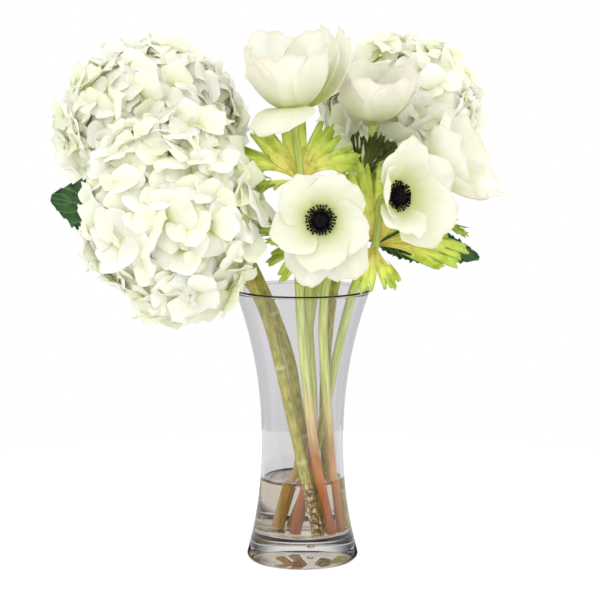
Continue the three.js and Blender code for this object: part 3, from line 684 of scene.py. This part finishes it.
def water_shape():
    """The water fills the vase and reaches a hair into the glass, so that no film of air
    shows between them. Its surface climbs the wall a little."""
    overlap = 0.15
    corner = float(vase_radius(FLOOR)) - WALL + overlap
    heights = np.arange(FLOOR + 6.0, WATER_LEVEL, 2.0)
    edge = float(vase_radius(WATER_LEVEL)) - WALL + overlap
    climb = np.array([0.0, 0.6, 1.4, 2.6, 4.2])
    profile = np.vstack([
        [[corner * k, FLOOR - overlap] for k in (0, 0.3, 0.6, 0.8)],
        arc((corner - CORNER_ROUND, FLOOR + CORNER_ROUND),
            (CORNER_ROUND, CORNER_ROUND + overlap), -90, 0, 8),
        np.stack([vase_radius(heights) - WALL + overlap, heights], -1),
        np.stack([edge - climb, WATER_LEVEL + 1.5 * np.exp(-climb / 1.3)], -1),
        [[edge * k, WATER_LEVEL] for k in (0.8, 0.5, 0.2, 0)]])
    return turned(profile, SEGMENTS)


make_piece("clear_glass_vase", vase_shape(), [blown_glass], "vase")
make_piece("still_water_body", water_shape(), [still_water], "water")

# ---------------- stems


def woody_shape(plant, rough_end):
    """A hydrangea stem: a round bar that thins a little upwards and swells to a ring at
    each leaf joint, by bell curves. Rough bark adds three waves round it. The tone says how
    rough the bark is, and is below zero at a joint."""
    centre = np.array(plant["centre"], float)
    toward = unit(plant["stem"][-1] - centre)
    socket = centre + toward * min(plant["radii"]) * CORE_SHARE * SOCKET_SHARE
    path = standing(smooth_path(plant["stem"] + [socket], 1.5))
    z = path[:, 2]
    sides = 20
    thinner = 0.5 * ((z - z[0]) / 300)[:, None]
    radius = np.full((len(path), sides), WOODY_RADIUS - 0.2) - thinner
    for height, size in plant["nodes"]:
        radius += size * (np.exp(-((z - height) / 2.2) ** 2)
                          + 0.35 * np.exp(-((z - height - 5) / 7) ** 2))[:, None]
    tone = np.clip((rough_end - z) / 14, 0, 1) if rough_end else np.zeros(len(z))
    radius += tone[:, None] * 0.5 * np.sin(3 * turns(sides) + z[:, None] / 5)
    for height, size in plant["nodes"]:
        tone = tone - 0.55 * size * np.exp(-((z - height) / 1.6) ** 2)
    tones = np.concatenate([np.tile(tone, sides), [tone[0], tone[-1]]])
    return tube(path, radius, sides, tones)


for name, plant in HYDRANGEAS.items():
    make_piece(name + "_woody_stem", woody_shape(plant, ROUGH_ENDS.get(name)),
               [hydrangea_bark], name + "_stem")


def bent_reach(length, rise, tip_rise, share):
    """How far out and up a sheet is after a share of its length, when its rise turns
    evenly from one angle to the other: the integrals of the angle's cosine and sine."""
    a = math.radians(rise)
    turn = math.radians(tip_rise - rise)
    if abs(turn) < 1e-6:
        return length * share * math.cos(a), length * share * math.sin(a)
    b = a + turn * share
    return (length * (np.sin(b) - math.sin(a)) / turn,
            length * (math.cos(a) - np.cos(b)) / turn)


def whorl_leaf(spec, draw, tone):
    """A fan leaf: whole near the stem, then cut into lobes, each cut again into narrow
    pointed tips. Its reach is v times one less three tiers of cuts: a deep cosine between
    lobes, and two saws that stand as triangles over the width. The flat fan is bent along
    its middle, ripples across, and its tips curl up and down in turn."""
    azimuth, length, spread, rise, tip_rise = spec
    lobes, depth = (5, 0.4) if spread > 50 else (3, 0.42)
    phase = draw.random(3) * 6.3
    slant = draw.uniform(-0.05, 0.05)
    uneven = draw.uniform(0.6, 1.3)

    def surface(u, v):
        w = u + slant * v * np.sin(3 * u + phase[0])
        between = 0.5 + 0.5 * np.cos(lobes * math.pi * (w + 1))
        wander = 0.06 * np.sin(7 * w + phase[1])
        strips = np.abs((lobes * 1.5 * (w + 1) + wander) % 1 - 0.5) * 2
        teeth = np.abs((lobes * 4.5 * (w + 1)) % 1 - 0.5) * 2
        cut = (depth * between ** 5 * v ** 2 + 0.3 * strips ** 3 * v ** 5 * uneven
               + 0.07 * teeth * v ** 8)
        reach = v * (1 - cut) * (1 - 0.16 * u * u)
        angle = np.radians(spread * (0.6 + 0.4 * v) * u)
        ahead = reach * np.cos(angle)
        out, up = bent_reach(length, rise, tip_rise, ahead)
        slope = np.radians(rise + (tip_rise - rise) * ahead)
        ripple = (2.2 * v * np.sin(lobes * math.pi * (w + 1) + phase[1])
                  + 1.2 * v ** 2 * np.sin(9 * u + 4 * v + phase[2])
                  + 2.4 * v ** 6 * np.sin(lobes * 3 * math.pi * (w + 1) + phase[0]))
        out = out + LEAF_ROOT * np.cos(angle) - ripple * np.sin(slope)
        aside = (length * reach + LEAF_ROOT) * np.sin(angle)
        turn = math.radians(azimuth)
        return np.stack([out * math.cos(turn) - aside * math.sin(turn),
                         out * math.sin(turn) + aside * math.cos(turn),
                         up + ripple * np.cos(slope)], -1)

    return sheet(surface, lobes * 36, 26, BLADE_THICK, tone, 1)


def tender_shape(name, plant, draw):
    """An anemone stem with nine soft ribs, thinner under the bloom, and its whorl."""
    neck = plant["base"] - unit(plant["axis"]) * STEM_NECK
    path = standing(smooth_path(plant["stem"] + [plant["at"], neck, plant["base"]]))
    sides = 18
    share = np.linspace(0, 1, len(path))[:, None]
    radius = (TENDER_RADIUS - 0.7 * share ** 3) * (1 + 0.035 * np.cos(9 * turns(sides)))
    # The crown's whorl stands in shadow, so a tone of one gives it painted shade.
    tone = 1.0 if name == "anemone_crown" else 0.0
    axes = frame_at(plant["up"])
    leaves = [placed(whorl_leaf(leaf, draw, tone), plant["at"], axes)
              for leaf in plant["leaves"]]
    return joined([tube(path, radius, sides, REDNESS[name])] + leaves)


for index, (name, plant) in enumerate(ANEMONES.items()):
    draw = np.random.default_rng(STEM_SEED + index)
    make_piece(name + "_leafy_stem", tender_shape(name, plant, draw),
               [anemone_stem_green, anemone_leaf_green], name + "_stem")

# ---------------- anemone blooms


def petal(spec, draw):
    """A broad petal. Along v it bends from one rise to the other. Its half width is a
    narrow root plus the sine of 1.95 v, and its end is rounded by powers of u. One edge
    stands above and one below, so it passes over one neighbour and under the other. Long
    shallow folds and a wavy edge come from sines of u and v."""
    azimuth, length, width, rise, tip_rise = spec
    phase = draw.random(5) * 6.3
    wave = draw.uniform(0.7, 1.3)

    def surface(u, v):
        edge = (1 + 0.032 * np.sin(5 * u + phase[0]) + 0.022 * np.sin(11 * u + phase[1])
                + 0.008 * np.sin(23 * u + phase[2]))
        share = (v * (1 - 0.08 * u * u * v - 0.22 * u ** 4 * v ** 2)
                 * (1 + (edge - 1) * v ** 2))
        out, up = bent_reach(length, rise, tip_rise, share)
        slope = np.radians(rise + (tip_rise - rise) * share)
        fold = (1.1 * v * np.sin(3.2 * u + phase[2]) + 0.4 * v * np.sin(8 * u + phase[3])
                + wave * 2.6 * v ** 3 * np.sin(5 * u + 5 * v + phase[4])
                + 0.8 * v ** 4 * np.sin(12 * u + phase[0]))
        shift = 2.6 * u * (0.25 + 0.75 * v) + fold
        half = (width / 2) * (0.07 + 0.93 * np.sin(1.95 * v))
        radius = PETAL_ROOT + np.maximum(out, 0)
        angle = math.radians(azimuth) + np.minimum(1.1, half / (radius + 3)) * u
        return around(angle, radius - shift * np.sin(slope),
                      2.75 + up + shift * np.cos(slope))

    return sheet(surface, 28, 26, BLADE_THICK, draw.uniform(0.75, 1.0), 2, 0)


RECEPTACLE = turned(
    [(0, 0.3), (3.6, 0.5), (5.4, 1.8), (6.2, 3.4), (5.6, 4.8), (0, 5.0)], 24, 1)


def bloom_shape(plant, draw):
    """All petals of a bloom round the green receptacle."""
    shapes = [petal(spec, draw) for spec in plant["petals"]] + [RECEPTACLE]
    return placed(joined(shapes), plant["base"], frame_at(plant["axis"]))


def pistil_dome():
    """The dark dome: half an ellipsoid, closed below, with rows of small bumps."""
    radius, stretch, foot = 7.3, 1.42, 5.6
    rise = np.linspace(0.02, 1, 22) * math.pi / 2
    angle = turns(40)[:, None]
    reach = radius + 0.35 * np.sin(rise * 22) * np.sin(angle * 12 + rise * 8)
    grid = around(angle, reach * np.cos(rise), foot + reach * stretch * np.sin(rise))
    return closed(grid, (0, 0, foot - 0.3), (0, 0, foot + radius * stretch + 0.05), plan=10)


def stamens(draw, count=81):
    """Stamens in a star: thin threads that rise from the dome's foot and lean out, each
    with a bead at its end. A thread is a ring carried along a straight line whose radius
    grows into the bead. Three tiers take turns: the lowest are the longest."""
    along = np.array([0.0, 0.5, 0.8, 0.86, 0.93, 0.99])
    radius = np.array([0.55, 0.5, 0.5, 1.0, 1.05, 0.5])
    upright = np.array([0, 0, 1.0])
    tier = np.arange(count) % 3
    azimuth = turns(count) + draw.normal(0, 0.03, count)
    lean = np.radians(np.choose(tier, [18, 34, 52]) + draw.normal(0, 5, count))
    length = np.choose(tier, [8.8, 7.4, 6.0]) + draw.normal(0, 0.8, count)
    outward = around(azimuth, 1.0, 0.0)
    start = outward * 5.2 + upright * (6.2 + tier[:, None])
    ahead = outward * np.cos(lean)[:, None] + upright * np.sin(lean)[:, None]
    side = np.cross(upright, outward)
    ring = rings(side, np.cross(ahead, side), 5)
    path = start[:, None] + ahead[:, None] * (length[:, None] * along)[..., None]
    grid = path[:, None] + ring[:, :, None] * radius[:, None]
    tips = path[:, -1] + ahead * 0.15
    return joined([closed(g, p[0], tip, plan=10) for g, p, tip in zip(grid, path, tips)])


for index, (name, plant) in enumerate(ANEMONES.items()):
    draw = np.random.default_rng(BLOOM_SEED + index)
    make_piece(name + "_bloom", bloom_shape(plant, draw),
               [anemone_petal, receptacle_green, anemone_petal_back],
               name + "_petals")
    dark = placed(joined([pistil_dome(), stamens(draw)]), plant["base"],
                  frame_at(plant["axis"]))
    make_piece(name + "_stamens", dark, [anemone_black], name + "_centre")

# ---------------- hydrangea leaves


def leaf_shape(spec):
    """A toothed oval blade with a fold along its rib and a slight arch, on its stalk.
    The half width is the 0.8th power of a sine, teeth are a saw along the edge, and the
    blade swells between its veins by a cosine."""
    foot, tip = (np.array(spec[k], float) for k in ("foot", "tip"))
    rib = tip - foot
    side = unit(np.cross(spec["facing"], rib))
    face = unit(np.cross(rib, side))

    def surface(u, v):
        oval = np.sin(math.pi * v ** 0.8).clip(0) ** 0.8 + 0.06
        saw = 1 - 0.17 * ((v * TEETH) % 1.0) * (np.abs(u) > 0.88)
        half = spec["width"] / 2 * oval * u * saw
        lift = (5 * np.abs(u) * oval + 10 * v * (1 - v)
                + 1.4 * np.abs(u) * np.cos(VEIN_TURNS * (v - VEIN_SLANT * np.abs(u))))
        return (foot + rib * v[..., None] + side * half[..., None]
                + face * lift[..., None])

    blade = sheet(surface, 24, 110, BLADE_THICK)
    stalk = tube(np.linspace(spec["stalk"], foot + rib * 0.12, 8), np.full(8, 1.7), 10)
    return joined([blade, stalk])


for name, spec in LEAVES.items():
    make_piece(name + "_blade", leaf_shape(spec), [hydrangea_leaf_dark], name)

# ---------------- hydrangea heads


def sepal(draw):
    """One of a floret's four sepals: a broad patch whose half width is a sine of v. It
    rises as it leaves the middle, curls over at its tip, and its edge ripples."""
    length = draw.uniform(21.0, 24.5)
    width = draw.uniform(26.0, 31.0)
    cup, curl = draw.uniform(1.0, 9.0), draw.uniform(-1.0, 5.0)
    ripple, phase = draw.uniform(1.6, 4.2), draw.uniform(0, 6.3)
    side = draw.uniform(-2.5, 2.5)

    def surface(u, v):
        along = length * v * (1 - 0.25 * u * u * v + 0.05 * v * np.sin(4 * u + phase))
        half = width / 2 * (0.08 + 0.92 * np.sin(2.15 * v))
        height = (cup * np.sin(1.5 * v) - curl * v ** 3 - 2.2 * u * u * v
                  + ripple * v * v * np.sin(3.2 * u + phase) + side * u * v
                  + 0.9 * v ** 3 * np.sin(7 * u + 2 * phase))
        return np.stack([1.0 + along, half * u, height], -1)

    return sheet(surface, 5, 5, SEPAL_THICK)


def turned_by(angle):
    """Three directions as rows, turned round the vertical by an angle."""
    return np.array([[math.cos(angle), math.sin(angle), 0],
                     [-math.sin(angle), math.cos(angle), 0], [0, 0, 1.0]])


def floret(draw):
    """Four sepals, one pair above the other, round a small bead on a thin stalk."""
    shapes = []
    for k in range(4):
        turn = k * math.pi / 2 + draw.uniform(-0.15, 0.15)
        shapes.append(placed(sepal(draw), (0, 0, 0.8 if k % 2 else -0.6), turned_by(turn)))
    bead = turned([(0, -1.2), (1.4, -0.6), (1.8, 0.6), (1.1, 1.6), (0, 2.0)], 6, 1)
    stem = tube([(0, 0, -STALK), (0, 0, -0.8)], [0.7, 0.9], 3, 0.5, 1)
    return joined(shapes + [bead, stem])


floret_draw = np.random.default_rng(FLORET_SEED)
FLORETS = [floret(floret_draw) for _ in range(FLORET_KINDS)]


def spread(count, bald):
    """Evenly spread directions on a ball, by the golden angle, from its top down to the
    bald patch round the stem."""
    k = np.arange(count)
    z = 1 - (k + 0.5) / count * (1 + math.cos(bald))
    out = np.sqrt(1 - z * z)
    return around(k * math.pi * (3 - math.sqrt(5)), out, z)


def object_tree(piece):
    """A search tree of a finished piece, in millimetres."""
    points = np.empty(len(piece.data.vertices) * 3)
    piece.data.vertices.foreach_get("co", points)
    return BVHTree.FromPolygons((points.reshape(-1, 3) / MM).tolist(),
                                [tuple(p.vertices) for p in piece.data.polygons])


obstacles = [object_tree(o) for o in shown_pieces()
             if o.name.endswith(("_bloom", "_leafy_stem", "_vase", "_blade"))]


def core_shape(centre, radii):
    """The head's inner branching: an ellipsoid whose radius is lumpy by sines."""
    rise = np.linspace(-0.98, 0.98, 20) * math.pi / 2
    angle = turns(32)[:, None]
    reach = CORE_SHARE * (1 + 0.05 * np.sin(5 * angle) * np.sin(6 * rise))
    grid = around(angle, reach * np.cos(rise), reach * np.sin(rise)) * radii + centre
    poles = np.array([[0, 0, -CORE_SHARE], [0, 0, CORE_SHARE]]) * radii + centre
    return closed(grid, *poles, finish=1)


def head_shape(plant, draw):
    """A head: florets spread over an ellipsoid whose radius is lumpy by sines, leaning a
    little each its own way, some deeper than others, and kept off whatever stands there
    already. An inner layer lies flatter, closes the gaps between them and is painted cream
    as painted shade."""
    centre, radii = (np.array(plant[key], float) for key in ("centre", "radii"))
    axis = unit(centre - plant["stem"][-1])
    outer = int(FLORETS_ON_86_MM * (radii.mean() / 86) ** 2)
    inner = outer // 2
    count = outer + inner
    flat = np.concatenate([spread(outer, BALD), spread(inner, BALD) @ turned_by(1.0)])
    directions = flat @ turned_by(plant["turn"]) @ frame_at(axis)
    side, front, height = directions.T
    lumps = (LUMPS * np.sin(7 * side + 4 * height + plant["turn"])
             * np.sin(6 * height - 3 * front))
    lean = np.where(np.arange(count) < outer, OUTER_LEAN, INNER_LEAN)[:, None]
    normals = unit(unit(directions / radii) + lean * draw.uniform(-1, 1, (count, 3)))
    shapes = [core_shape(centre, radii)]
    for k in range(count):
        turn = draw.uniform(0, 2 * math.pi)
        size = draw.uniform(0.85, 1.2)
        depth = draw.choice(OUTER_DEPTHS) if k < outer else INNER_DEPTH
        shape = FLORETS[draw.integers(len(FLORETS))]
        # Outer florets vary at random in tone; the inner layer gets the cream of tone zero
        # as painted shade deep in the head.
        tone = draw.uniform(0.45, 1.0) if k < outer else 0.0
        axes = turned_by(turn) @ frame_at(normals[k]) * size
        for deeper in DEEPER:
            reach = depth + lumps[k] - deeper
            at = centre + directions[k] * radii * reach - normals[k] * SUNK
            candidate = placed(shape, at, axes)
            sepals = np.concatenate(candidate["faces"][:4])
            tree = BVHTree.FromPolygons(candidate["points"].tolist(), sepals.tolist())
            if not any(o.overlap(tree) for o in obstacles):
                shapes.append(dict(candidate, tone=np.full(len(candidate["tone"]), tone)))
                break
    return joined(shapes)


for index, (name, plant) in enumerate(HYDRANGEAS.items()):
    draw = np.random.default_rng(HEAD_SEED + index)
    make_piece(name + "_florets", head_shape(plant, draw),
               [hydrangea_sepal, branching_green], name + "_head")

# ---------------- studio

CAMERA_AT, CAMERA_TILT = (-0.0023, -1.9, 0.5), 7.71
LENS, SENSOR = 124.68, 36.0
ROOM_LIGHT = 1.28
FLOOR_SIDES, FLOOR_RADIUS, FLOOR_DROP = 64, 0.6, -0.0004
# How far out the painted shade ring on the floor reaches, in metres.
SHADE_RING_REACH = 0.4

scene = bpy.context.scene
scene.view_settings.view_transform = "Standard"

camera = bpy.data.objects.new("camera", bpy.data.cameras.new("camera"))
camera.data.lens, camera.data.sensor_width = LENS, SENSOR
camera.data.clip_start, camera.data.clip_end = 0.05, 60.0
camera.location = CAMERA_AT
camera.rotation_euler = (math.radians(90 - CAMERA_TILT), 0, 0)
scene.collection.objects.link(camera)
scene.camera = camera


def soft_sun(name, azimuth, height, power, breadth):
    """A far white lamp with a broad face, whose light comes from an azimuth clockwise from
    behind the camera and a height above the floor, all in degrees."""
    data = bpy.data.lights.new(name, "SUN")
    data.angle, data.energy = math.radians(breadth), power
    light = bpy.data.objects.new(name, data)
    light.rotation_euler = (math.radians(90 - height), 0, math.radians(azimuth))
    light.visible_glossy = light.visible_transmission = False
    scene.collection.objects.link(light)


soft_sun("key", -32, 30, 0.9, 45)
soft_sun("fill", 38, 18, 0.65, 60)


def seen_in_glass(tree):
    """One for a ray that came through clear glass or off a gloss, else zero. A ray that a
    petal or leaf has scattered counts as neither."""
    ray = add_node(tree, "LightPath").outputs
    clear_ray = maths(tree, "MAXIMUM", ray["Is Transmission Ray"], ray["Is Glossy Ray"])
    return maths(tree, "SUBTRACT", clear_ray, ray["Is Diffuse Ray"], clamp=True)


# The sweep is pure white to the lens. Through glass and in its gloss the grey room shows,
# which is what gives clear glass its body and its dark edges. There the floor is painted
# grey, and a painted dark ring of shade lies round the foot, from about 5 to 13 cm out; it
# shows in the glass only.
floor_material, floor_tree, floor_shader, _ = new_material("pale_paper_sweep")
away = add_node(floor_tree, "VectorMath", {0: place(floor_tree)}, operation="LENGTH")
away = maths(floor_tree, "MULTIPLY", away.outputs["Value"], 1 / SHADE_RING_REACH)
# Painted shade: a grey floor and a dark ring round the foot, seen in the glass only.
painted_shade_ring = ramp(floor_tree, away,
             [(0.13, "#cccaca"), (0.145, "#120f0d"), (0.27, "#120f0d"), (0.33, "#cccaca")])
paper = mixed(floor_tree, seen_in_glass(floor_tree), "#fafafa", painted_shade_ring)
feed(floor_tree, floor_shader, {"Base Color": paper, "Roughness": 0.9})

rim_of_floor = around(turns(FLOOR_SIDES), FLOOR_RADIUS, FLOOR_DROP)
floor_mesh = bpy.data.meshes.new("floor")
floor_mesh.from_pydata(rim_of_floor.tolist(), [], [tuple(range(FLOOR_SIDES))])
floor_mesh.materials.append(floor_material)
floor = bpy.data.objects.new("floor", floor_mesh)
scene.collection.objects.link(floor)

# The room has pale walls ahead and behind and dark ones at the sides. Well below the
# horizon it is the lit table top, so that steep looks through the glass stay pale.
world = bpy.data.worlds.new("studio")
scene.world = world
world.use_nodes = True
sky = world.node_tree
sky.nodes.clear()
sideways, _, upwards = split(sky, place(sky, "Generated"))
walls = ramp(sky, maths(sky, "ABSOLUTE", sideways),
             [(0.0, "#e8e6e7"), (0.25, "#e4e3e4"), (0.5, "#8a8786"), (0.66, "#2c2624"),
              (0.82, "#1c1614"), (0.9, "#d8d8d8")])
walls = mixed(sky, span(sky, upwards, -0.17, -0.22), walls, "#d2d0d1")
lens_sees, petals_see, glass_sees = (
    add_node(sky, "Background", {"Color": colour, "Strength": strength}).outputs[0]
    for colour, strength in (("#ffffff", 1.0), ("#fdfdfd", ROOM_LIGHT), (walls, 1.0)))
lit = blended(sky, seen_in_glass(sky), petals_see, glass_sees)
to_lens = add_node(sky, "LightPath").outputs["Is Camera Ray"]
add_node(sky, "OutputWorld",
         {"Surface": blended(sky, to_lens, lit, lens_sees)})
